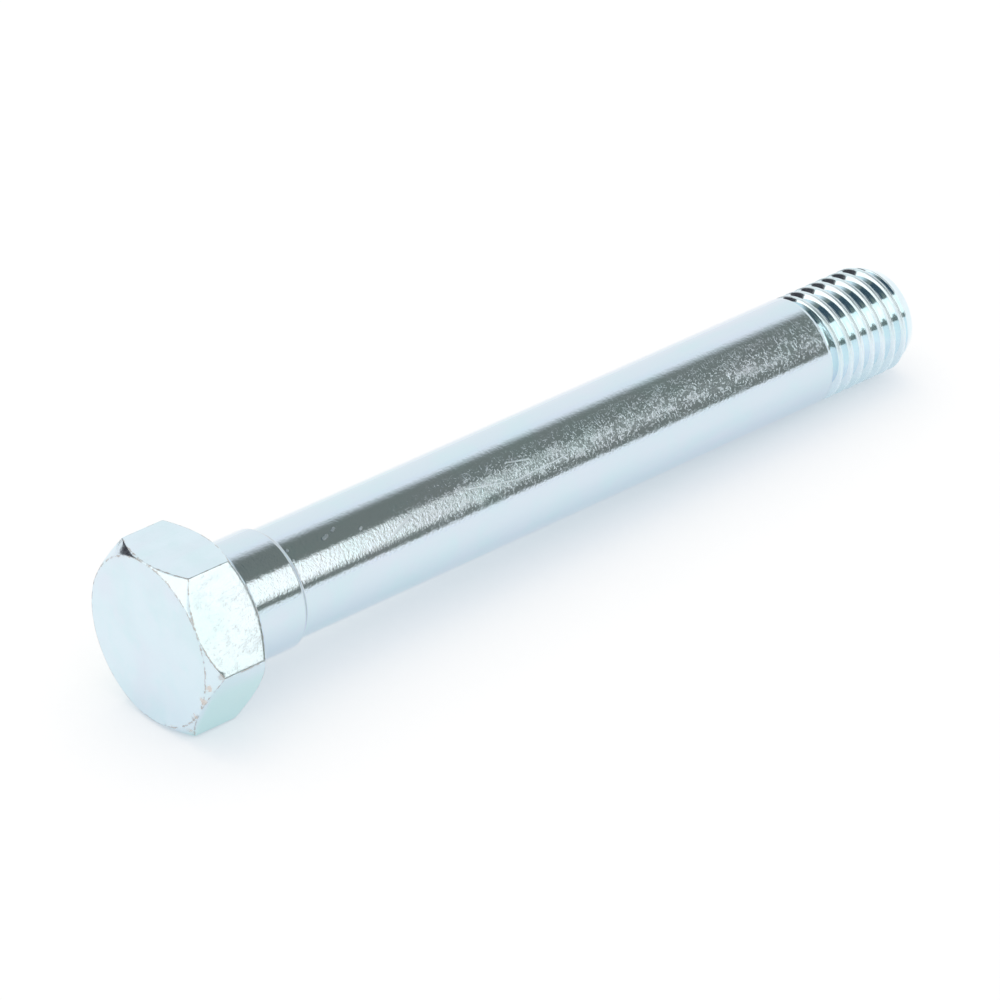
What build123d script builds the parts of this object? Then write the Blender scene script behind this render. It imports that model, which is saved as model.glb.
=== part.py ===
"""Shoulder bolt in one piece: hexagon head, short collar, long plain shank and a coarse thread.

The bolt lies along +X, from the head to the thread, with two flats of the head level.
The origin is the middle of the bearing face under the head. Lengths are in millimetres.
"""
from build123d import *
from math import cos, pi, radians, sin, tan
import os

# Hexagon head
across_flats = 24.0
head_height = 10.2
face_circle_radius = 11.9
face_chamfer_angle = 42.0
bearing_circle_radius = 11.6
back_chamfer_angle = 38.0
under_head_fillet = 0.6

# Collar under the head, and the cone that steps down to the shank
collar_radius = 8.5
collar_length = 9.2
step_length = 0.9

# Plain shank
shank_radius = 7.85
shank_end = 103.9
shank_edge = 0.45

# Thread, with a narrow neck as deep as its groove where the shank ends
overall_length = 120.8
pitch = 2.0
crest_radius = 7.775
root_radius = 6.7
root_flat = 0.34
flank_angle = 30.0
neck_radius = 6.75
neck_length = 0.15
neck_rise_length = 0.6
tip_radius = 6.25
tip_chamfer_length = 3.0
tip_fillet = 0.6

# Thread groove: where its first turn rises out of the neck, and how finely it is followed
groove_at_zero = 103.81
groove_start_angle = 30.0
groove_fade_angle = 120.0
groove_fade_lift = 1.2
groove_outer_radius = 8.1
points_per_half_turn = 12
direction_step = 0.01
run_past_tip = 1.2


def chamfered_disc():
    """The round envelope that bevels both ends of the hexagon."""
    rim = 0.6 * across_flats
    face_bevel = (rim - face_circle_radius) * tan(radians(face_chamfer_angle))
    back_bevel = (rim - bearing_circle_radius) * tan(radians(back_chamfer_angle))
    outline = Polyline(
        (-head_height, 0),
        (-head_height, face_circle_radius),
        (-head_height + face_bevel, rim),
        (-back_bevel, rim),
        (0, bearing_circle_radius),
        (0, 0),
        close=True,
    )
    return revolve(make_face(outline), Axis.X)


def head():
    """Hexagon with level top and bottom flats, bevelled at both ends."""
    start = Plane(origin=(-head_height, 0, 0), x_dir=(0, 1, 0), z_dir=(1, 0, 0))
    hexagon = start * RegularPolygon(across_flats / 2, 6, major_radius=False)
    return extrude(hexagon, head_height) & chamfered_disc()


def body():
    """Collar, shank, neck and thread blank, turned as one profile."""
    step_end = collar_length + step_length
    neck_start = shank_end + shank_edge
    neck_end = neck_start + neck_length
    crest_start = neck_end + neck_rise_length
    tip_start = overall_length - tip_chamfer_length
    outline = Polyline(
        (-head_height / 2, 0),
        (-head_height / 2, collar_radius),
        (collar_length, collar_radius),
        (step_end, shank_radius),
        (shank_end, shank_radius),
        (neck_start, neck_radius),
        (neck_end, neck_radius),
        (crest_start, crest_radius),
        (tip_start, crest_radius),
        (overall_length, tip_radius),
        (overall_length, 0),
        close=True,
    )
    turned = revolve(make_face(outline), Axis.X)
    tip_edge = turned.edges().filter_by(GeomType.CIRCLE).group_by(Axis.X)[-1]
    return fillet(tip_edge, tip_fillet)


def groove_lift(angle):
    """How far the first turn is held out of the metal, easing from its full lift to nothing."""
    share = min((angle - groove_start_angle) / groove_fade_angle, 1.0)
    return groove_fade_lift * (1 + cos(pi * share)) / 2


def groove_corner(angle, outer, side):
    """One of the groove's four corners, in the plane through the axis at this angle."""
    lift = groove_lift(angle)
    half_width = root_flat / 2
    radius = root_radius + lift
    if outer:
        half_width += (groove_outer_radius - radius) * tan(radians(flank_angle))
        radius = groove_outer_radius
    centre = groove_at_zero + pitch * angle / 360
    turn = radians(angle)
    return Vector(centre + side * half_width, radius * cos(turn), radius * sin(turn))


def groove_rail(angles, corner):
    """Smooth curve along one corner of the groove, with its true direction at both ends."""
    directions = []
    for angle in (angles[0], angles[-1]):
        ahead = groove_corner(angle + direction_step, *corner)
        behind = groove_corner(angle - direction_step, *corner)
        directions.append((ahead - behind).normalized())
    points = [groove_corner(angle, *corner) for angle in angles]
    return Spline(*points, tangents=directions).edge()


def groove_length(angles):
    """A length of the groove as a solid: four ruled walls between four rails, and two flat ends."""
    corners = [(False, -1), (False, 1), (True, 1), (True, -1)]
    rails = [groove_rail(angles, corner) for corner in corners]
    walls = [Face.make_surface_from_curves(rails[index - 1], rails[index]) for index in range(4)]
    ends = []
    for angle in (angles[0], angles[-1]):
        outline = Polyline(*[groove_corner(angle, *corner) for corner in corners], close=True)
        ends.append(make_face(outline).face())
    return Solid(Shell(walls + ends))


def thread_groove():
    """Right-hand groove with straight flanks, from the neck to past the tip, half a turn at a time."""
    end_angle = (overall_length + run_past_tip - groove_at_zero) / pitch * 360
    lengths = []
    start = groove_start_angle
    while start < end_angle:
        step = 180 / points_per_half_turn
        lengths.append(groove_length([start + step * index for index in range(points_per_half_turn + 1)]))
        start += 180
    return lengths


def under_head_round(bolt):
    """Round the corner between the bearing face and the collar."""
    corner = bolt.edges().filter_by(GeomType.CIRCLE).filter_by(
        lambda edge: abs(edge.radius - collar_radius) < 0.01 and abs(edge.center().X) < 0.01
    )
    return fillet(corner, under_head_fillet)


def shoulder_bolt():
    """The whole bolt, as one solid."""
    blank = under_head_round(head() + body())
    return blank - thread_groove()


os.makedirs("parts", exist_ok=True)
bolt = shoulder_bolt()
export_step(bolt, "parts/shoulder_bolt.step")
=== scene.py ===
"""A zinc plated shoulder bolt on a pale floor: the bolt's finished surface, the stage and the camera."""

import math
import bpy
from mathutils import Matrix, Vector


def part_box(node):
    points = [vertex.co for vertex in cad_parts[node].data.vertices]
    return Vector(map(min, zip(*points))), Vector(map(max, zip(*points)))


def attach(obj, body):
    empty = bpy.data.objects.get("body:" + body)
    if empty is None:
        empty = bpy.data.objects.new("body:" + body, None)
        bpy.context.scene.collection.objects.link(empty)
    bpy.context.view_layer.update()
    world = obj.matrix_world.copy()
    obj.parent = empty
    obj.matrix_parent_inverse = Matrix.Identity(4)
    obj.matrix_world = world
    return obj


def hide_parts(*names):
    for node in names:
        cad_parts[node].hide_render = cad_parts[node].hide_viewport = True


bl_info = {
    "name": "Shoulder Bolt",
    "version": (1, 0, 0),
    "blender": (4, 5, 0),
    "location": "3D View > Sidebar > Shoulder Bolt",
    "description": "Makes a zinc plated shoulder bolt and the pale stage it lies on",
    "category": "Add Mesh",
}

import bpy
import numpy as np
from bpy.props import FloatProperty, FloatVectorProperty, PointerProperty
from mathutils import Matrix, Vector

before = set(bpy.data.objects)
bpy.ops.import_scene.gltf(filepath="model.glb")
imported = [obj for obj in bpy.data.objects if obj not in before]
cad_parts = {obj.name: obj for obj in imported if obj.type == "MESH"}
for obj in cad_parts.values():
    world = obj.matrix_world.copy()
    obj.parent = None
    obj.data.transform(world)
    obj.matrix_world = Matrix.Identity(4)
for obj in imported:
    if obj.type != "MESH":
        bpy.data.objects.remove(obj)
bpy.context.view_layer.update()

BODY = "root"
NODE = "shoulder_bolt"
MM = 0.001
MM_IN_METRE = 1000.0
FULL_TURN = 2 * math.pi

# Grid of the bolt's surface
COLUMNS_PER_FLAT = 44
COLUMN_CROWDING = 1.7
HEAD_CELLS = (14, 9, 16, 9, 7)
HEAD_CROWDING = 2.3
COLLAR_CELLS = 12
COLLAR_CROWDING = 2.0
STEP_POINTS = 15
SHANK_CELLS = 24
SHANK_CROWDING = 2.6
THREAD_SPACING = 0.07 * MM
ARC_CELLS = 8
END_RINGS = 6
SMALLEST_RING = 0.02 * MM
SMALLEST_SLOPE = 0.004
NEWTON_STEPS = 60
NEWTON_REACH = 1e-6
FAR_FROM_EDGE = 5 * MM

solid_low, solid_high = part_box(NODE)


def length(name, value, description):
    """A size in metres, shown with its unit."""
    return FloatProperty(name=name, description=description, default=value, min=0, unit="LENGTH", precision=5)


def colour(name, value, description):
    """A colour that the user can pick."""
    return FloatVectorProperty(
        name=name, description=description, default=value, min=0, max=1, size=3, subtype="COLOR"
    )


def amount(name, value, description):
    """A plain number."""
    return FloatProperty(name=name, description=description, default=value, precision=4)


def degrees(name, value, description):
    """An angle, given in degrees."""
    return FloatProperty(name=name, description=description, default=math.radians(value), subtype="ANGLE")


def spot(name, value, description):
    """A place in metres."""
    return FloatVectorProperty(
        name=name, description=description, default=value, size=3, subtype="TRANSLATION", unit="LENGTH"
    )


class BoltSizes(bpy.types.PropertyGroup):
    across_flats: length("Across flats", solid_high.z - solid_low.z, "Width of the head over two flats")
    head_height: length("Head height", -solid_low.x, "Height of the head from the bearing face")
    face_circle_radius: length("Face circle radius", 11.9 * MM, "Radius where the chamfer of the face starts")
    face_chamfer_angle: degrees("Face chamfer", 42, "Slope of the chamfer round the face")
    bearing_circle_radius: length("Bearing circle radius", 11.6 * MM, "Radius where the back chamfer starts")
    back_chamfer_angle: degrees("Back chamfer", 38, "Slope of the chamfer round the bearing face")
    edge_rounding: length("Edge rounding", 0.055 * MM, "How softly the edges of the head are worn round")
    under_head_fillet: length("Under head fillet", 0.6 * MM, "Radius between the bearing face and the collar")
    collar_radius: length("Collar radius", 8.5 * MM, "Radius of the collar under the head")
    collar_length: length("Collar length", 9.2 * MM, "Length of the collar from the bearing face")
    step_length: length("Step length", 0.9 * MM, "Length of the slope from collar to shank")
    shank_radius: length("Shank radius", 7.85 * MM, "Radius of the plain shank")
    shank_end: length("Shank end", 103.9 * MM, "Where the plain shank ends")
    shank_edge: length("Shank edge", 0.45 * MM, "Size of the edge at the end of the shank")
    neck_radius: length("Neck radius", 6.75 * MM, "Radius of the neck behind the shank")
    neck_length: length("Neck length", 0.15 * MM, "Length of the neck")
    neck_rise_length: length("Neck rise", 0.6 * MM, "Length of the slope from the neck to the crests")
    overall_end: length("Thread end", solid_high.x, "Where the tip of the thread is")
    pitch: length("Pitch", 2 * MM, "Distance from one turn of the thread to the next")
    crest_radius: length("Crest radius", 7.775 * MM, "Radius over the thread")
    root_radius: length("Root radius", 6.7 * MM, "Radius at the bottom of the groove")
    root_flat: length("Root flat", 0.34 * MM, "Width of the bottom of the groove")
    thread_rounding: length("Thread rounding", 0.05 * MM, "How softly the crests and roots are rolled round")
    flank_angle: degrees("Flank angle", 30, "Slope of each side of the groove")
    tip_radius: length("Tip radius", 6.25 * MM, "Radius of the flat end of the thread")
    tip_chamfer_length: length("Tip chamfer length", 3.0 * MM, "Length of the chamfer at the tip")
    tip_fillet: length("Tip fillet", 0.6 * MM, "Radius between the tip's chamfer and its end")
    groove_at_zero: length("Groove start", 103.81 * MM, "Where the line of the groove crosses the side")
    groove_start_angle: degrees("Groove start angle", 30, "Turn at which the groove begins")
    groove_fade_angle: degrees("Groove fade", 120, "Turn over which the groove reaches its depth")
    groove_fade_lift: length("Groove fade lift", 1.2 * MM, "How high the groove is at its start")


class BoltFinish(bpy.types.PropertyGroup):
    zinc: colour("Zinc", (0.67, 0.78, 0.855), "Colour of the bright zinc on the turned shank")
    zinc_head: colour("Zinc on the head", (0.72, 0.85, 0.92), "Colour of the zinc on the forged head")
    zinc_thread: colour("Zinc on the thread", (0.80, 0.92, 0.97), "Colour of the zinc in the rolled thread")
    zinc_cool: colour("Cool tint", (0.62, 0.81, 0.85), "Cyan tint of the plating")
    zinc_warm: colour("Warm tint", (0.73, 0.77, 0.87), "Lavender tint of the plating")
    # Painted reflection: a green tint low on the head's sides that stands in for the shaded floor they
    # reflect.
    painted_floor_reflection: colour("Zinc low on the head", (0.62, 0.85, 0.83), "Green tint low on the sides of the head")
    # Real wear on edges and nicks; the same grey brown is also mixed onto the step as painted shade.
    worn_and_step_shade: colour("Worn edge", (0.44, 0.40, 0.37), "Grey brown of the worn edges")
    scuffed: colour("Scuffed metal", (0.72, 0.69, 0.66), "Pale grey brown of scuffed corners")
    roughness: amount("Roughness", 0.085, "Roughness of the clean plating")
    scratch_height: length("Scratch height", 0.02 * MM, "Height of the turning marks and scratches")


class StageSetup(bpy.types.PropertyGroup):
    camera_place: spot("Camera place", (-0.43702, -0.57317, 0.44537), "Where the camera stands")
    camera_aim: spot("Camera aim", (0.055, 0.006012, -0.007221), "The point the camera looks at")
    camera_roll: degrees("Camera roll", 0.787, "Turn of the camera about its own axis")
    camera_lens: amount("Lens", 234, "Focal length in millimetres on a 36 mm sensor")
    floor_span: length("Floor span", 6.0, "Side of the square floor")
    floor_colour: colour("Floor", (0.80, 0.80, 0.81), "Colour of the floor")
    floor_glow: colour("Floor glow", (0.448, 0.543, 0.605), "What pictures and reflections add to the floor")
    ambient: colour("Ambient light", (0.62, 0.51, 0.464), "Even light on the floor")
    lamp_place: spot("Lamp place", (0.1, 0.40, 0.95), "Where the large soft lamp hangs")
    lamp_aim: spot("Lamp aim", (0.06, 0, 0), "The point the lamp shines at")
    lamp_side: length("Lamp side", 1.1, "Side of the square lamp")
    lamp_power: amount("Lamp power", 1.8, "Power of the lamp in watts")
    lamp_colour: colour("Lamp colour", (1.0, 0.86, 0.50), "Colour of the lamp")
    flag_colour: colour("Dark flags", (0.212, 0.2245, 0.2035), "Glow of the dark flags in the metal")
    black_flag_colour: colour("Black flag", (0.055, 0.052, 0.06), "Glow of the black flag behind the bolt")
    black_roof_colour: colour("Black roof", (0.05, 0.083, 0.108), "Glow of the black part of the roof")
    card_colour: colour("White cards", (1.0, 0.975, 0.93), "Colour of the white cards in the metal")
    card_strength: amount("Back card's strength", 1.36, "Brightness of the white card behind the head")
    strip_strength: amount("Strip card's strength", 1.78, "Brightness of the card that makes the band")


def curved_share(cells, power):
    """Shares from 0 to 1 that crowd towards both ends.

    The distance to the nearer end is half of (twice the share) raised to the power.
    """
    share = np.linspace(0, 1, cells + 1)
    near = np.minimum(share, 1 - share)
    bent = 0.5 * (2 * near) ** power
    return np.where(share < 0.5, bent, 1 - bent)


def columns(per_flat, power):
    """The angle of each column round the bolt, crowded at the six corners of the head.

    Corners stand every 60 degrees, the first on +Y.
    """
    one = curved_share(per_flat, power)[:-1]
    return (np.arange(6)[:, None] + one[None, :]).ravel() * (FULL_TURN / 6)


def corner_radius(turn, sizes):
    """Distance from the axis to the side of a sharp hexagon.

    It is half the flats over the cosine of the angle from a flat.
    """
    from_flat = np.mod(turn, FULL_TURN / 6) - FULL_TURN / 12
    return sizes.across_flats / 2 / np.cos(from_flat)


def head_limits(x, across, turn, sizes):
    """How far a point stands outside each limit of the head.

    The limits are the face, the bearing face, two chamfer cones and six flats, each as a distance along
    its normal.
    """
    front = sizes.face_chamfer_angle
    back = sizes.back_chamfer_angle
    face_x = x + sizes.head_height
    limits = [
        -face_x,
        x,
        (across - sizes.face_circle_radius) * np.sin(front) - face_x * np.cos(front),
        (across - sizes.bearing_circle_radius) * np.sin(back) + x * np.cos(back),
    ]
    limits += [across * np.cos(turn - side) - sizes.across_flats / 2 for side in flat_angles()]
    return np.stack(limits)


def flat_angles():
    """The direction of each flat's normal, 30 degrees on from +Y and every 60 degrees."""
    return (np.arange(6) + 0.5) * (FULL_TURN / 6)


def head_rows(turn, sizes):
    """Rows of the head from the middle of the face to the foot of the under-head fillet.

    Rays leave the middle of the head at angles that crowd at each edge. On each ray the surface is where
    the soft maximum of the limits, the logarithm of the sum of their exponentials, is zero, found by
    Newton steps.
    """
    middle = sizes.head_height / 2
    corner = corner_radius(turn, sizes)
    front_x = (corner - sizes.face_circle_radius) * math.tan(sizes.face_chamfer_angle)
    back_x = (corner - sizes.bearing_circle_radius) * math.tan(sizes.back_chamfer_angle)
    even = np.zeros_like(turn)
    fillet_start = sizes.collar_radius + sizes.under_head_fillet
    knots = [
        even,
        even + math.atan2(sizes.face_circle_radius, middle),
        np.arctan2(corner, middle - front_x),
        math.pi - np.arctan2(corner, middle - back_x),
        even + math.pi - math.atan2(sizes.bearing_circle_radius, middle),
        even + math.pi - math.atan2(fillet_start, middle),
    ]
    rows = [even[None, :] + SMALLEST_SLOPE]
    for low, high, count in zip(knots[:-1], knots[1:], HEAD_CELLS):
        share = curved_share(count, HEAD_CROWDING)[1:, None]
        rows.append(low + (high - low) * share)
    slope = np.concatenate(rows)
    along = -np.cos(slope)
    out = np.sin(slope)
    reach = np.full_like(slope, 2 * sizes.across_flats)

    def outside(distance):
        limits = head_limits(along * distance - middle, out * distance, turn, sizes)
        return soft_limit(limits, sizes.edge_rounding)

    for _ in range(NEWTON_STEPS):
        here = outside(reach)
        there = outside(reach + NEWTON_REACH)
        reach = reach - here * NEWTON_REACH / (there - here)
    return along * reach - middle, out * reach


def soft_limit(limits, soft):
    """The soft maximum of the limits: softness times the logarithm of the sum of exponentials."""
    top = limits.max(axis=0)
    return top + soft * np.log(np.exp((limits - top) / soft).sum(axis=0))


def edge_nearness(x, across, turn, sizes):
    """Distance from the nearest edge of the head: the gap between the two highest limits."""
    limits = np.sort(head_limits(x, across, turn, sizes), axis=0)
    return limits[-1] - limits[-2]


def arc(centre_x, centre_radius, size, start, stop, cells):
    """Points of a quarter turn or less in the profile, from one angle to another about a centre."""
    angle = np.linspace(start, stop, cells + 1)
    return centre_x + size * np.cos(angle), centre_radius + size * np.sin(angle)


def turned_rows(turn, sizes):
    """Rows of the fillet, collar, step and shank, the same all round.

    The fillet is an arc, and the step's slope is worn soft: a smooth fall of 3 s^2 - 2 s^3 over its share s.
    """
    fillet = sizes.under_head_fillet
    fillet_x, fillet_radius = arc(
        fillet, sizes.collar_radius + fillet, fillet, math.pi, 1.5 * math.pi, ARC_CELLS
    )
    step_end = sizes.collar_length + sizes.step_length
    collar = fillet + (sizes.collar_length - fillet) * curved_share(COLLAR_CELLS, COLLAR_CROWDING)[1:-1]
    slope = sizes.collar_length + sizes.step_length * np.linspace(0, 1, STEP_POINTS)
    shank = step_end + (sizes.shank_end - step_end) * curved_share(SHANK_CELLS, SHANK_CROWDING)[1:-1]
    run = np.concatenate([collar, slope, shank])
    share = np.clip((run - sizes.collar_length) / sizes.step_length, 0, 1)
    drop = (sizes.collar_radius - sizes.shank_radius) * (3 - 2 * share) * share**2
    x = np.concatenate([fillet_x[1:], run])
    across = np.concatenate([fillet_radius[1:], sizes.collar_radius - drop])
    even = np.ones_like(turn)
    return x[:, None] * even, across[:, None] * even


def outer_radius(x, sizes):
    """Radius of the bolt before the groove is cut.

    Straight lines join the shank, its edge, the neck, the thread blank and the tip's chamfer.
    """
    edge_end = sizes.shank_end + sizes.shank_edge
    neck_end = edge_end + sizes.neck_length
    blank = neck_end + sizes.neck_rise_length
    chamfer = sizes.overall_end - sizes.tip_chamfer_length
    at = [sizes.shank_end, edge_end, neck_end, blank, chamfer, sizes.overall_end]
    radius = [
        sizes.shank_radius, sizes.neck_radius, sizes.neck_radius,
        sizes.crest_radius, sizes.crest_radius, sizes.tip_radius,
    ]
    return np.interp(x, at, radius)


def thread_radius(x, turn, sizes):
    """Radius of the bolt with its groove.

    The groove's line climbs one pitch a turn. Its bottom is the root radius plus a lift that falls from
    full to nothing as half a cosine, and each side climbs by the distance from the line over the tangent
    of the flank angle. The groove and the blank meet in a soft minimum.
    """
    soft = sizes.thread_rounding
    blank = outer_radius(x, sizes)
    turns = round((sizes.overall_end - sizes.groove_at_zero) / sizes.pitch) + 2
    lowest = blank
    for whole in range(turns):
        angle = turn + whole * FULL_TURN
        line = sizes.groove_at_zero + sizes.pitch * angle / FULL_TURN
        share = np.clip((angle - sizes.groove_start_angle) / sizes.groove_fade_angle, 0, 1)
        lift = sizes.groove_fade_lift * (1 + np.cos(math.pi * share)) / 2
        aside = (np.abs(x - line) - sizes.root_flat / 2) / math.tan(sizes.flank_angle)
        climb = soft * np.logaddexp(0, aside / soft)
        groove = sizes.root_radius + lift + climb
        lowest = -soft * np.logaddexp(-lowest / soft, -groove / soft)
    return lowest


def thread_rows(turn, sizes):
    """Rows of the threaded end at an even spacing, up to where the tip's rounding starts."""
    reach = tip_rounding(sizes)[0][0]
    count = math.ceil((reach - sizes.shank_end) / THREAD_SPACING)
    x = np.linspace(sizes.shank_end, reach, count + 1)[:-1, None] + np.zeros_like(turn)
    return x, thread_radius(x, turn, sizes)


def tip_rounding(sizes):
    """The arc between the tip's chamfer and its end face, tangent to both."""
    drop = sizes.crest_radius - sizes.tip_radius
    slope = math.atan2(sizes.tip_chamfer_length, drop)
    fillet = sizes.tip_fillet
    centre_x = sizes.overall_end - fillet
    tangent = fillet * math.tan(slope / 2)
    return arc(centre_x, sizes.tip_radius - tangent, fillet, slope, 0, ARC_CELLS)


def tip_rows(turn, sizes):
    """Rows of the tip's rounding and its flat end."""
    x, across = tip_rounding(sizes)
    end_x = np.full(END_RINGS, sizes.overall_end)
    end_across = across[-1] * (1 - np.linspace(0, 1, END_RINGS + 1)[1:]) + SMALLEST_RING
    x = np.concatenate([x, end_x])
    across = np.concatenate([across, end_across])
    even = np.ones_like(turn)
    return x[:, None] * even, across[:, None] * even


def grid_faces(rows, count):
    """Corner numbers of a closed tube of rows, each turned outwards, with a fan at each end."""
    row = np.arange(rows - 1)[:, None] * count
    here = np.arange(count)[None, :]
    after = (here + 1) % count
    below = row + count
    quads = np.stack([row + here, row + after, below + after, below + here], axis=-1).reshape(-1, 4)
    first = rows * count
    last = first + 1
    ring = np.arange(count)
    onward = (ring + 1) % count
    start = np.stack([onward, ring, np.full(count, first)], axis=-1)
    foot = (rows - 1) * count
    stop = np.stack([foot + ring, foot + onward, np.full(count, last)], axis=-1)
    return quads, np.concatenate([start, stop])


def area_normals(points, quads, triangles):
    """Normals at the corners: the sum of the faces' crossed diagonals, so that large faces count for most."""
    total = np.zeros_like(points)
    flat = np.cross(points[quads[:, 2]] - points[quads[:, 0]], points[quads[:, 3]] - points[quads[:, 1]])
    for corner in range(4):
        np.add.at(total, quads[:, corner], flat)
    side = np.cross(points[triangles[:, 1]] - points[triangles[:, 0]],
                    points[triangles[:, 2]] - points[triangles[:, 0]])
    for corner in range(3):
        np.add.at(total, triangles[:, corner], side)
    size = np.linalg.norm(total, axis=1, keepdims=True)
    return total / np.maximum(size, 1e-30)


def bolt_points(sizes):
    """All points of the bolt as rows by columns, with the distance from the nearest edge of the head."""
    turn = columns(COLUMNS_PER_FLAT, COLUMN_CROWDING)
    head = head_rows(turn, sizes)
    parts = [
        head,
        turned_rows(turn, sizes),
        thread_rows(turn, sizes),
        tip_rows(turn, sizes),
    ]
    x = np.concatenate([part[0] for part in parts])
    across = np.concatenate([part[1] for part in parts])
    edge = edge_nearness(*head, turn, sizes)
    far = np.full((len(x) - len(edge), len(turn)), FAR_FROM_EDGE)
    return x, across, turn, np.concatenate([edge, far])


def dents():
    """Nicks on the head's edges: place in millimetres, radius and depth."""
    return np.array([
        (-9.2, 6.9, 11.9, 0.9, 0.10),
        (-9.0, -6.9, 11.8, 0.5, 0.06),
        (-8.9, -13.7, 0.3, 0.8, 0.12),
        (-9.3, -12.9, -2.2, 0.6, 0.10),
        (-9.1, -7.2, -11.7, 0.8, 0.10),
        (-10.1, -9.0, -7.6, 0.6, 0.08),
        (-0.9, -13.6, 0.2, 0.6, 0.08),
        (-5.6, -6.9, 11.9, 0.4, 0.05),
        (-3.2, -7.0, 11.9, 0.3, 0.04),
        (-10.1, -3.0, -11.4, 0.5, 0.06),
    ])


def scuffs():
    """Scuffed places on the front corners of the head: place in millimetres, radius and share of scuffing."""
    return np.array([
        (-9.8, -12.2, -1.6, 1.0, 0.9),
        (-10.1, -11.3, -3.9, 1.1, 0.9),
        (-10.1, -9.4, -7.0, 0.9, 0.8),
        (-9.9, -7.4, -10.6, 1.4, 0.9),
        (-10.1, -4.6, -11.0, 1.0, 0.7),
        (-9.6, -6.4, 11.2, 0.6, 0.6),
    ])


def bells(points, places):
    """For each point, the sum over the places of the last number times a bell curve of the distance.

    The bell curve is the exponential of minus the steepness times the squared share of the radius.
    """
    steepness = 2.5
    total = np.zeros(len(points))
    for x, y, z, radius, most in places:
        apart = np.linalg.norm(points / MM - np.array([x, y, z]), axis=1)
        total += most * np.exp(-((apart / radius) ** 2) * steepness)
    return total


def make_mesh(name, points, quads, triangles, normals, values):
    """A Blender mesh from whole arrays, with one number per point for each name in values."""
    mesh = bpy.data.meshes.new(name)
    corners = np.concatenate([quads.ravel(), triangles.ravel()]).astype(np.int32)
    sizes = np.concatenate([np.full(len(quads), 4), np.full(len(triangles), 3)])
    starts = np.concatenate([[0], np.cumsum(sizes)[:-1]]).astype(np.int32)
    mesh.vertices.add(len(points))
    mesh.vertices.foreach_set("co", points.astype(np.float32).ravel())
    mesh.loops.add(len(corners))
    mesh.loops.foreach_set("vertex_index", corners)
    mesh.polygons.add(len(sizes))
    mesh.polygons.foreach_set("loop_start", starts)
    mesh.update(calc_edges=True)
    mesh.polygons.foreach_set("use_smooth", np.ones(len(sizes), bool))
    for key, value in values.items():
        mesh.attributes.new(key, "FLOAT", "POINT").data.foreach_set("value", value.astype(np.float32))
    mesh.normals_split_custom_set_from_vertices(normals.astype(np.float32))
    return mesh


class Number:
    """A number that varies over a surface: a socket whose sums add Math nodes."""

    def __init__(self, nodes, socket):
        self.nodes = nodes
        self.socket = socket

    def maths(self, operation, first, second):
        return self.nodes.add("ShaderNodeMath", {"operation": operation}, {0: first, 1: second})

    def __add__(self, other):
        return self.maths("ADD", self, other)

    __radd__ = __add__

    def __sub__(self, other):
        return self.maths("SUBTRACT", self, other)

    def __rsub__(self, other):
        return self.maths("SUBTRACT", other, self)

    def __mul__(self, other):
        return self.maths("MULTIPLY", self, other)

    __rmul__ = __mul__

    def __truediv__(self, other):
        return self.maths("DIVIDE", self, other)

    def __rtruediv__(self, other):
        return self.maths("DIVIDE", other, self)

    def __pow__(self, other):
        return self.maths("POWER", self, other)

    def size(self):
        """The number without its sign."""
        return self.nodes.add("ShaderNodeMath", {"operation": "ABSOLUTE"}, {0: self})


class Nodes:
    """Builds the nodes of one material or world."""

    def __init__(self, tree):
        self.tree = tree
        tree.nodes.clear()

    def add(self, kind, settings=None, inputs=None, output=0):
        """Adds a node of that type, sets its settings, then its sockets, and gives one output as a Number."""
        node = self.tree.nodes.new(kind)
        for key, value in (settings or {}).items():
            if key == "stops":
                self.set_stops(node.color_ramp, value)
            else:
                setattr(node, key, value)
        for key, value in (inputs or {}).items():
            if isinstance(value, Number):
                self.tree.links.new(value.socket, node.inputs[key])
            else:
                node.inputs[key].default_value = value
        return Number(self, node.outputs[output]) if node.outputs else None

    def set_stops(self, ramp, stops):
        """Places the stops of a ramp: pairs of position and colour."""
        while len(ramp.elements) < len(stops):
            ramp.elements.new(1)
        for element, (place, shade) in zip(ramp.elements, stops):
            element.position = place
            element.color = (*shade, 1)

    def parts(self, vector):
        """The three numbers of a vector."""
        first = self.add("ShaderNodeSeparateXYZ", inputs={0: vector})
        return [Number(self, socket) for socket in first.socket.node.outputs]

    def vector(self, operation, first, second, output=0):
        """One output of a Vector Math node."""
        return self.add("ShaderNodeVectorMath", {"operation": operation}, {0: first, 1: second}, output)

    def clamp(self, value):
        """The number held between 0 and 1."""
        return self.add("ShaderNodeClamp", inputs={"Value": value})

    def span(self, value, low, high):
        """Smooth rise from 0 at low to 1 at high."""
        return self.add(
            "ShaderNodeMapRange", {"interpolation_type": "SMOOTHSTEP"},
            {"Value": value, "From Min": low, "From Max": high},
        )

    def mix(self, factor, first, second):
        """A colour between two colours."""
        return self.add(
            "ShaderNodeMix", {"data_type": "RGBA"}, {0: factor, 6: first, 7: second}, output=2
        )

    def noise(self, place, scale, detail=2.0, roughness=0.5):
        """Noise from 0 to 1 at a place."""
        return self.add(
            "ShaderNodeTexNoise", {"noise_dimensions": "3D"},
            {"Vector": place, "Scale": scale, "Detail": detail, "Roughness": roughness},
        )

    def hairs(self, place, width):
        """Thin curled lines where noise crosses its middle, broken into short pieces by more noise."""
        field = self.noise(place, 1.0, 1.0)
        line = 1 - self.span((field - 0.5).size(), 0, width)
        broken = self.span(self.noise(place, 1.7, 1.0), 0.50, 0.62)
        return line * broken

    def stretch(self, place, factors, turn=(0, 0, 0)):
        """The place with its axes scaled and turned."""
        return self.add(
            "ShaderNodeMapping", {"vector_type": "POINT"},
            {"Vector": place, "Scale": factors, "Rotation": turn},
        )


def rgba(value):
    """A colour with full alpha."""
    return (*value, 1.0)


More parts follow.
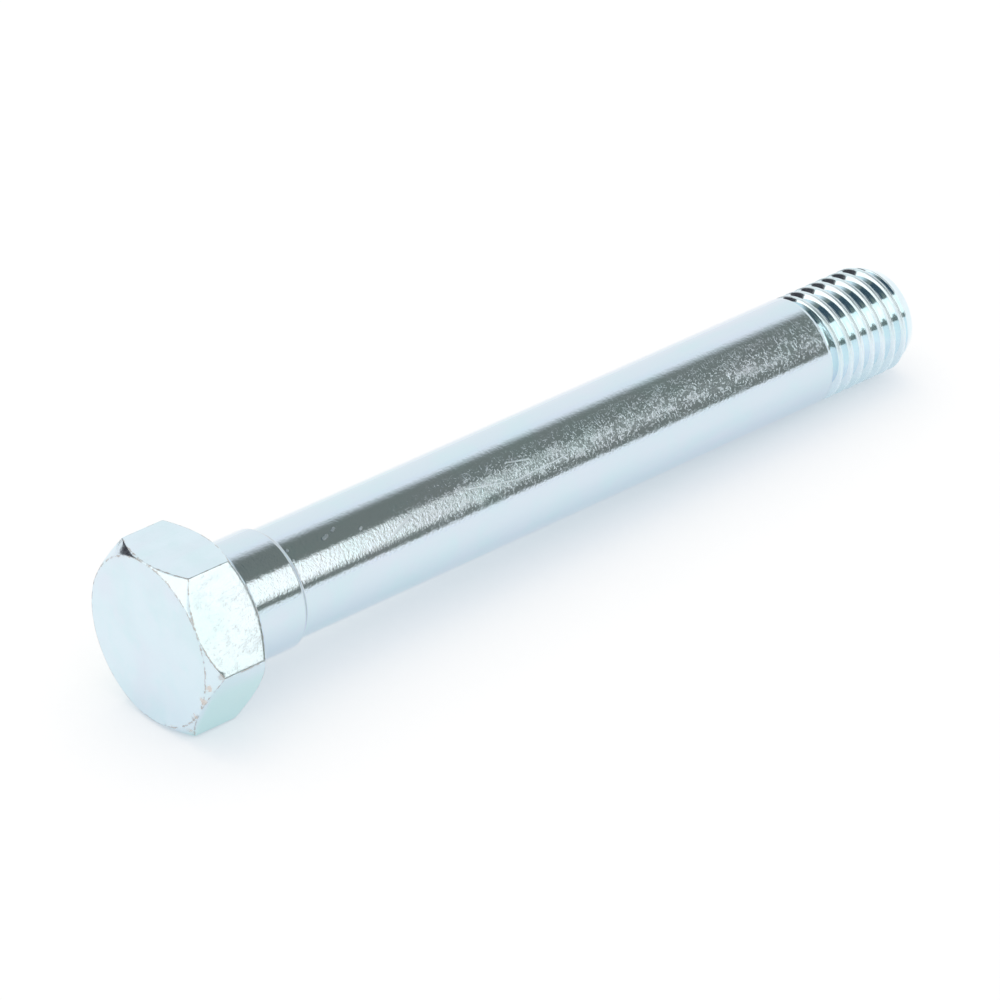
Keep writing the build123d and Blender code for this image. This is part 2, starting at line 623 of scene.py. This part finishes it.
def zinc_colour(nodes, finish, in_mm, zones, wear_and_step_shade, scuff):
    """Zinc with faint cyan and lavender patches, grey brown where it is worn and paler where scuffed, with a
    green painted reflection of the shaded floor low on the head's sides and painted shade on the step.
    """
    tint = 0.45
    cool = nodes.span(nodes.noise(in_mm, 0.16, 4.0, 0.6), 0.40, 0.68)
    warm = nodes.span(nodes.noise(nodes.stretch(in_mm, (0.05, 0.2, 0.2)), 1.0, 3.0), 0.42, 0.75)
    base = nodes.mix(zones["head"], rgba(finish.zinc), rgba(finish.zinc_head))
    base = nodes.mix(zones["thread"], base, rgba(finish.zinc_thread))
    base = nodes.mix(cool * tint, base, rgba(finish.zinc_cool))
    base = nodes.mix(warm * tint, base, rgba(finish.zinc_warm))
    # Painted reflection of the shaded floor: a green tint low on the head's sides.
    base = nodes.mix(zones["sides"] * 0.8, base, rgba(finish.painted_floor_reflection))
    base = nodes.mix(scuff, base, rgba(finish.scuffed))
    # Grey brown of real wear on the edges and nicks, and painted shade on the step.
    return nodes.mix(wear_and_step_shade, base, rgba(finish.worn_and_step_shade))


def zinc_height(nodes, in_mm, zones, fields):
    """Height of the surface, as a share of the scratch height.

    The shank has turning marks, single scratches, and specks and fine hairs where it is rubbed, and the head
    has grain.
    """
    turning = nodes.noise(nodes.stretch(in_mm, (2.6, 1.9, 1.9)), 1.0, 3.0, 0.65)
    rubbed = zones["rubbed"]
    on_shank = turning * 0.95 + fields["specks"] * rubbed * 0.20 + fields["hairs"] * rubbed * 0.42
    on_shank = (on_shank + fields["scratches"] * 0.45) * zones["shank"]
    on_head = fields["grain"] * 0.25 + fields["specks"] * 0.10 + fields["hairs"] * 0.06
    return on_shank + on_head * zones["head"] + fields["grain"] * 0.05


def scratches():
    """Single scratches and small rubbed spots on the shank.

    Each runs between two places, given as millimetres along the bolt and degrees round it, and has a width.
    """
    return [
        (26.3, 143.5, 29.8, 134.0, 0.22),
        (40.0, 134.0, 47.5, 145.5, 0.10),
        (47.5, 145.5, 56.5, 143.5, 0.10),
        (47.0, 125.0, 50.5, 131.0, 0.12),
        (16.2, 120.5, 16.9, 118.8, 0.30),
        (18.0, 116.5, 18.5, 114.5, 0.22),
        (21.8, 126.5, 22.1, 125.5, 0.20),
        (10.45, 116.5, 10.5, 116.0, 0.28),
        (10.35, 128.5, 10.4, 128.0, 0.22),
    ]


def scratch_lines(nodes, in_mm, sizes):
    """1 along the single scratches, falling to 0 over their widths.

    The distance from a scratch is that from the nearest point of its straight line, whose share of the way
    is the dot product with the line over the line's squared length, held between 0 and 1.
    """
    radius = sizes.shank_radius / MM

    def on_shank(x, turn):
        return Vector((x, radius * math.cos(math.radians(turn)), radius * math.sin(math.radians(turn))))

    total = 0.0
    for x, turn, end_x, end_turn, width in scratches():
        start = on_shank(x, turn)
        line = on_shank(end_x, end_turn) - start
        away = nodes.vector("SUBTRACT", in_mm, start)
        share = nodes.clamp(nodes.vector("DOT_PRODUCT", away, line, 1) / line.length_squared)
        nearest = nodes.add("ShaderNodeVectorMath", {"operation": "SCALE"}, {0: line, "Scale": share})
        apart = nodes.vector("DISTANCE", away, nearest, 1)
        total = total + (1 - nodes.span(apart, width * 0.4, width * 1.3))
    return nodes.clamp(total)


def zinc_material(finish, sizes):
    """Bright zinc: a metal with faint tints, turning marks, rubbed specks and scratches, and grey worn edges,
    with painted shade on the step and a painted reflection of the shaded floor low on the head's sides.

    The zones are shares from 0 to 1 of the head, shank and thread, of the crests, of the step, which gets
    painted shade, of the head's low sides, which get a painted reflection of the shaded floor, and of the
    shank's upper front, where handling has rubbed it. The fields are patterns from 0 to 1.
    """
    material = bpy.data.materials.new("zinc_plated_steel")
    material.use_nodes = True
    nodes = Nodes(material.node_tree)
    place = nodes.add("ShaderNodeTexCoord", output=3)
    in_mm = nodes.add(
        "ShaderNodeVectorMath", {"operation": "SCALE"}, {0: place, "Scale": MM_IN_METRE}
    )
    along, aside, up = nodes.parts(in_mm)
    radius = (aside * aside + up * up) ** 0.5
    edge = nodes.add("ShaderNodeAttribute", {"attribute_name": "edge_distance"}, output=2)
    nick = nodes.add("ShaderNodeAttribute", {"attribute_name": "nick"}, output=2)
    scuffed = nodes.add("ShaderNodeAttribute", {"attribute_name": "scuff"}, output=2)

    thread_start = sizes.shank_end / MM
    crest_top = sizes.crest_radius / MM
    step_middle = (sizes.collar_length + sizes.step_length / 2) / MM
    head = 1 - nodes.span(along, -0.2, 0.2)
    thread = nodes.span(along, thread_start, thread_start + 0.5)
    shank = 1 - head - thread
    upper_front = (up - aside) / radius * math.sqrt(0.5)
    zones = {
        "head": head,
        "thread": thread,
        "shank": shank,
        "rubbed": shank * nodes.span(upper_front, 0.905, 0.975) * nodes.span(along, 16.0, 44.0),
        "crest": nodes.span(radius, crest_top - 0.20, crest_top - 0.06) * thread,
        # The step, which gets painted shade in the worn grey brown.
        "step": 1 - nodes.span((along - step_middle).size(), 0.35, 0.50),
        # Where the painted reflection of the shaded floor goes: low on the head's sides.
        "sides": head * nodes.span(along, -9.8, -8.6) * nodes.span(-1 * up, 0.5, 5.0),
    }
    speck_field = nodes.noise(nodes.stretch(in_mm, (2.1, 2.3, 2.3)), 1.0, 4.0, 0.75)
    clusters = nodes.noise(nodes.stretch(in_mm, (0.45, 0.7, 0.7)), 1.0, 3.0, 0.6)
    hair_one = nodes.hairs(nodes.stretch(in_mm, (1.9, 1.0, 1.0)), 0.05)
    hair_two = nodes.hairs(nodes.stretch(in_mm, (1.1, 1.9, 1.9), (0.4, 0.3, 0.8)), 0.05)
    fields = {
        "specks": nodes.span(speck_field + (clusters - 0.5), 0.52, 0.74),
        "hairs": nodes.clamp(hair_one + hair_two),
        "ragged": nodes.noise(in_mm, 2.2, 3.0, 0.65),
        "grain": nodes.noise(in_mm, 3.2, 2.0, 0.6),
        "scratches": scratch_lines(nodes, in_mm, sizes),
    }
    ragged = fields["ragged"]
    worn = 1 - nodes.span(edge * MM_IN_METRE + (ragged - 0.5) * 0.45, 0.01, 0.14)
    worn = worn * nodes.span(nodes.noise(in_mm, 0.9, 2.0), 0.36, 0.58)
    nicked = nodes.span(nick * MM_IN_METRE + (ragged - 0.5) * 0.04, 0.015, 0.06)
    # Worn edges and nicks are real wear; the step's share is painted shade that darkens the step.
    wear_and_step_shade = nodes.clamp(worn * 0.75 + nicked * 0.45 + zones["step"] * 0.30)
    scuff = nodes.span(scuffed + (ragged - 0.5) * 1.3, 0.35, 0.75)

    shade = zinc_colour(nodes, finish, in_mm, zones, wear_and_step_shade, scuff)
    height = zinc_height(nodes, in_mm, zones, fields) - nicked * 0.10
    bump = nodes.add(
        "ShaderNodeBump", inputs={"Strength": 1.0, "Distance": finish.scratch_height, "Height": height}
    )
    rubbed = zones["rubbed"]
    marked = fields["specks"] * (rubbed * 0.20 + head * 0.05) + fields["hairs"] * rubbed * 0.20
    marked = marked + fields["scratches"] * shank * 0.26
    dull = wear_and_step_shade * 0.25 + scuff * 0.30 + zones["crest"] * 0.30 + head * 0.04 + marked
    rough = nodes.clamp(finish.roughness + (fields["grain"] - 0.5) * 0.05 + dull)
    shader = nodes.add(
        "ShaderNodeBsdfPrincipled",
        inputs={"Base Color": shade, "Metallic": 1.0, "Roughness": rough, "Normal": bump},
    )
    nodes.add("ShaderNodeOutputMaterial", inputs={"Surface": shader})
    return material


def add_piece(name, mesh, material):
    """Puts a mesh in the scene at the origin with one material."""
    mesh.materials.append(material)
    piece = bpy.data.objects.new(name, mesh)
    bpy.context.scene.collection.objects.link(piece)
    return piece


class BOLT_OT_surface(bpy.types.Operator):
    """Makes the bolt's finished surface, with its worn head, turned shank and cut thread"""

    bl_idname = "shoulder_bolt.surface"
    bl_label = "Bolt surface"

    def execute(self, context):
        sizes = context.scene.bolt_sizes
        x, across, turn, edge = bolt_points(sizes)
        rows, count = x.shape
        ring = np.stack([x, across * np.cos(turn), across * np.sin(turn)], axis=-1).reshape(-1, 3)
        poles = np.array([[x[0].mean(), 0, 0], [x[-1].mean(), 0, 0]])
        points = np.concatenate([ring, poles])
        quads, triangles = grid_faces(rows, count)
        normals = area_normals(points, quads, triangles)
        depth = bells(points, dents()) * MM
        values = {
            "edge_distance": np.concatenate([edge.ravel(), [FAR_FROM_EDGE, FAR_FROM_EDGE]]),
            "nick": depth,
            "scuff": bells(points, scuffs()),
        }
        points = points - normals * depth[:, None]
        normals = area_normals(points, quads, triangles)
        mesh = make_mesh("bolt_steel", points, quads, triangles, normals, values)
        piece = add_piece("bolt_steel", mesh, zinc_material(context.scene.bolt_finish, sizes))
        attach(piece, BODY)
        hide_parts(NODE)
        return {"FINISHED"}


def floor_pose(sizes):
    """The floor's slope and its point under the bearing face.

    The bolt rests on the back edge of the lowest flat and on the first full crest behind the tip.
    """
    flat = sizes.across_flats / 2
    heel_x = -(flat - sizes.bearing_circle_radius) * math.tan(sizes.back_chamfer_angle)
    toe_x = sizes.overall_end - sizes.tip_chamfer_length
    slope = math.atan2(flat - sizes.crest_radius, toe_x - heel_x)
    return slope, Vector((heel_x, 0, -flat))


def add_plane(name, corners, material):
    """A flat stage piece with the given corners."""
    mesh = bpy.data.meshes.new(name)
    mesh.from_pydata([tuple(corner) for corner in corners], [], [tuple(range(len(corners)))])
    mesh.update()
    piece = add_piece(name, mesh, material)
    return piece


def seen_rays(nodes):
    """1 for rays from the camera or sent on by metal or glass, and 0 for light on its way to the floor."""
    path = nodes.add("ShaderNodeLightPath").socket.node
    camera = Number(nodes, path.outputs["Is Camera Ray"])
    glossy = Number(nodes, path.outputs["Is Glossy Ray"])
    through = Number(nodes, path.outputs["Is Transmission Ray"])
    after_floor = Number(nodes, path.outputs["Diffuse Depth"])
    return nodes.clamp(camera + glossy + through - after_floor)


def floor_material(setup):
    """Pale matt floor that looks brighter than it lights, so that it is white where it has no shadow."""
    material = bpy.data.materials.new("pale_floor")
    material.use_nodes = True
    nodes = Nodes(material.node_tree)
    glow = nodes.mix(seen_rays(nodes), (0.0, 0.0, 0.0, 1.0), rgba(setup.floor_glow))
    shader = nodes.add(
        "ShaderNodeBsdfPrincipled",
        inputs={
            "Base Color": rgba(setup.floor_colour), "Roughness": 1.0, "Specular IOR Level": 0.0,
            "Emission Color": glow, "Emission Strength": 1.0,
        },
    )
    nodes.add("ShaderNodeOutputMaterial", inputs={"Surface": shader})
    return material


def bright(shade, strength):
    """A colour times a strength, with full alpha."""
    return (*(strength * part for part in shade), 1.0)


def glow_material(name, setup, shade, fade=None):
    """The glow of a card or flag in reflections.

    The floor gets the plain even light from it instead. With fade, a function of the place and a
    second colour, it changes to that colour by the share that the function gives.
    """
    material = bpy.data.materials.new(name)
    material.use_nodes = True
    nodes = Nodes(material.node_tree)
    if fade is not None:
        share, other = fade
        place = nodes.parts(nodes.add("ShaderNodeTexCoord", output=3))
        shade = nodes.mix(share(nodes, *place), shade, other)
    shown = nodes.mix(seen_rays(nodes), rgba(setup.ambient), shade)
    glow = nodes.add("ShaderNodeEmission", inputs={"Color": shown, "Strength": 1.0})
    nodes.add("ShaderNodeOutputMaterial", inputs={"Surface": glow})
    return material


def roof_share(nodes, along, aside, up):
    """0 where the roof is dark to 1 at its white far edge: rises along Y, and leans along X."""
    lean = 0.45
    level_at = 0.42
    across = aside + (along - level_at) * lean
    return nodes.add("ShaderNodeMapRange", inputs={"Value": across, "From Min": 0.15, "From Max": 0.36})


def strip_share(nodes, along, aside, up):
    """How far the strip card has faded to dark.

    The shank shows a point of the card further back, by a share of the point's distance from the axis. That
    place along the bolt steers the fade.
    """
    set_back = 0.61
    ahead = 0.02
    fade_length = 0.21
    shown_at = along - (aside * aside + up * up) ** 0.5 * set_back
    share = (shown_at + ahead) / fade_length
    stops = [
        (0.0, 0.29), (0.06, 0.29), (0.10, 0.0), (0.19, 0.03), (0.24, 0.33), (0.27, 0.57), (0.33, 0.76),
        (0.38, 0.90), (0.46, 0.975), (0.60, 0.95), (1.0, 1.0),
    ]
    return nodes.add(
        "ShaderNodeValToRGB", {"stops": [(place, (level,) * 3) for place, level in stops]}, {"Fac": share}
    )


def reflected_pieces(setup):
    """The flags and cards that only metal shows: name, corners and material of each.

    The roof and the side make the dark bands along the shank and the black roof the dark bars in the thread.
    The low flag makes the black patches on top of the thread. The strip card leans back and makes the bright
    band, and the back card the bright flat of the head and the bright bars in the thread.
    """
    top = 0.60
    below_roof = 0.002
    side_y = -1.2
    low_y = 0.9
    back_x = -0.7
    strip_lean = 0.3
    strip_foot = -0.469
    white_edge = (0.97, 0.97, 1.0, 1.0)
    dark = rgba(setup.flag_colour)
    white = bright(setup.card_colour, setup.card_strength)
    strip = bright(setup.card_colour, setup.strip_strength)
    roof = [(-0.26, side_y), (1.30, side_y), (0.80, -0.50), (0.64, -0.10), (0.64, 0.50), (-0.26, 0.50)]
    black_roof = [(-0.26, -0.6), (0.32, -0.6), (0.32, 0.16), (-0.26, 0.16)]
    side = [(-0.6, 0.145), (1.35, 0.145), (1.35, top), (-0.6, top)]
    low = [(-0.95, 0.055), (0.05, 0.055), (0.05, 0.34), (-0.95, 0.34)]
    card = [(-0.15, 0.132), (0.276, 0.132), (0.290, 0.166), (0.315, 0.195), (0.47, 0.21), (0.55, 0.50),
            (0.42, 0.50), (0.385, 0.52), (0.37, 0.55), (-0.15, 0.55)]
    back = [(-0.15, 0.08), (0.84, 0.08), (0.84, 0.65), (-0.15, 0.65)]
    return [
        ("dark_roof", [(x, y, top) for x, y in roof],
         glow_material("dark_roof", setup, dark, (roof_share, white_edge))),
        ("black_roof", [(x, y, top - below_roof) for x, y in black_roof],
         glow_material("black_roof", setup, rgba(setup.black_roof_colour))),
        ("dark_side", [(x, side_y, z) for x, z in side], glow_material("dark_side", setup, dark)),
        ("dark_low", [(x, low_y, z) for x, z in low],
         glow_material("dark_low", setup, rgba(setup.black_flag_colour))),
        ("strip_card", [(x, strip_lean * z + strip_foot, z) for x, z in card],
         glow_material("strip_card", setup, strip, (strip_share, dark))),
        ("back_card", [(back_x, y, z) for y, z in back], glow_material("back_card", setup, white)),
    ]


def only_reflected(piece):
    """Keeps a card or flag out of pictures and of the light on the floor, so that only metal shows it."""
    piece.visible_camera = False
    piece.visible_diffuse = False
    piece.visible_shadow = False
    piece.visible_volume_scatter = False
    piece.visible_transmission = False


def add_world(setup):
    """White to the camera and to reflections, and an even pale light for the rest."""
    world = bpy.data.worlds.new("studio")
    bpy.context.scene.world = world
    world.use_nodes = True
    nodes = Nodes(world.node_tree)
    shade = nodes.mix(seen_rays(nodes), rgba(setup.ambient), (1.0, 1.0, 1.0, 1.0))
    glow = nodes.add("ShaderNodeBackground", inputs={"Color": shade, "Strength": 1.0})
    nodes.add("ShaderNodeOutputWorld", inputs={"Surface": glow})


def add_lamp(setup):
    """A square soft lamp that metal doesn't show."""
    light = bpy.data.lights.new("main_lamp", "AREA")
    light.shape = "SQUARE"
    light.size = setup.lamp_side
    light.energy = setup.lamp_power
    light.color = setup.lamp_colour
    lamp = bpy.data.objects.new("main_lamp", light)
    lamp.location = setup.lamp_place
    view = Vector(setup.lamp_aim) - Vector(setup.lamp_place)
    lamp.rotation_euler = view.to_track_quat("-Z", "Y").to_euler()
    lamp.visible_glossy = False
    bpy.context.scene.collection.objects.link(lamp)


def add_camera(setup):
    """The camera: looking from its place to its aim, then turned about its own axis."""
    data = bpy.data.cameras.new("camera")
    data.lens = setup.camera_lens
    data.sensor_width = 36
    data.clip_start = 0.01
    data.clip_end = 50
    camera = bpy.data.objects.new("camera", data)
    view = Vector(setup.camera_aim) - Vector(setup.camera_place)
    turned = view.to_track_quat("-Z", "Y").to_matrix() @ Matrix.Rotation(-setup.camera_roll, 3, "Z")
    camera.matrix_world = Matrix.Translation(setup.camera_place) @ turned.to_4x4()
    bpy.context.scene.collection.objects.link(camera)
    bpy.context.scene.camera = camera


class BOLT_OT_stage(bpy.types.Operator):
    """Makes the floor, the cards that the metal reflects, the lamp and the camera"""

    bl_idname = "shoulder_bolt.stage"
    bl_label = "Stage"

    def execute(self, context):
        sizes = context.scene.bolt_sizes
        setup = context.scene.stage_setup
        context.scene.view_settings.view_transform = "Standard"
        slope, heel = floor_pose(sizes)
        half = setup.floor_span / 2
        along = Vector((math.cos(slope), 0, math.sin(slope))) * half
        aside = Vector((0, half, 0))
        corners = [heel - along - aside, heel + along - aside, heel + along + aside, heel - along + aside]
        add_plane("floor", corners, floor_material(setup))
        add_world(setup)
        for name, corners, material in reflected_pieces(setup):
            only_reflected(add_plane(name, corners, material))
        add_lamp(setup)
        add_camera(setup)
        return {"FINISHED"}


class BOLT_PT_panel(bpy.types.Panel):
    """Lists the sizes, the finish and the buttons"""

    bl_idname = "BOLT_PT_panel"
    bl_label = "Shoulder Bolt"
    bl_space_type = "VIEW_3D"
    bl_region_type = "UI"
    bl_category = "Shoulder Bolt"

    def draw(self, context):
        scene = context.scene
        for group in (scene.bolt_sizes, scene.bolt_finish, scene.stage_setup):
            box = self.layout.box()
            for key in group.__annotations__:
                box.prop(group, key)
        self.layout.operator(BOLT_OT_surface.bl_idname)
        self.layout.operator(BOLT_OT_stage.bl_idname)


CLASSES = (BoltSizes, BoltFinish, StageSetup, BOLT_OT_surface, BOLT_OT_stage, BOLT_PT_panel)


def register():
    for item in CLASSES:
        bpy.utils.register_class(item)
    bpy.types.Scene.bolt_sizes = PointerProperty(type=BoltSizes)
    bpy.types.Scene.bolt_finish = PointerProperty(type=BoltFinish)
    bpy.types.Scene.stage_setup = PointerProperty(type=StageSetup)


def unregister():
    del bpy.types.Scene.stage_setup
    del bpy.types.Scene.bolt_finish
    del bpy.types.Scene.bolt_sizes
    for item in reversed(CLASSES):
        bpy.utils.unregister_class(item)


def main():
    """Makes everything in order."""
    register()
    bpy.ops.shoulder_bolt.surface()
    bpy.ops.shoulder_bolt.stage()


if __name__ == "__main__":
    main()
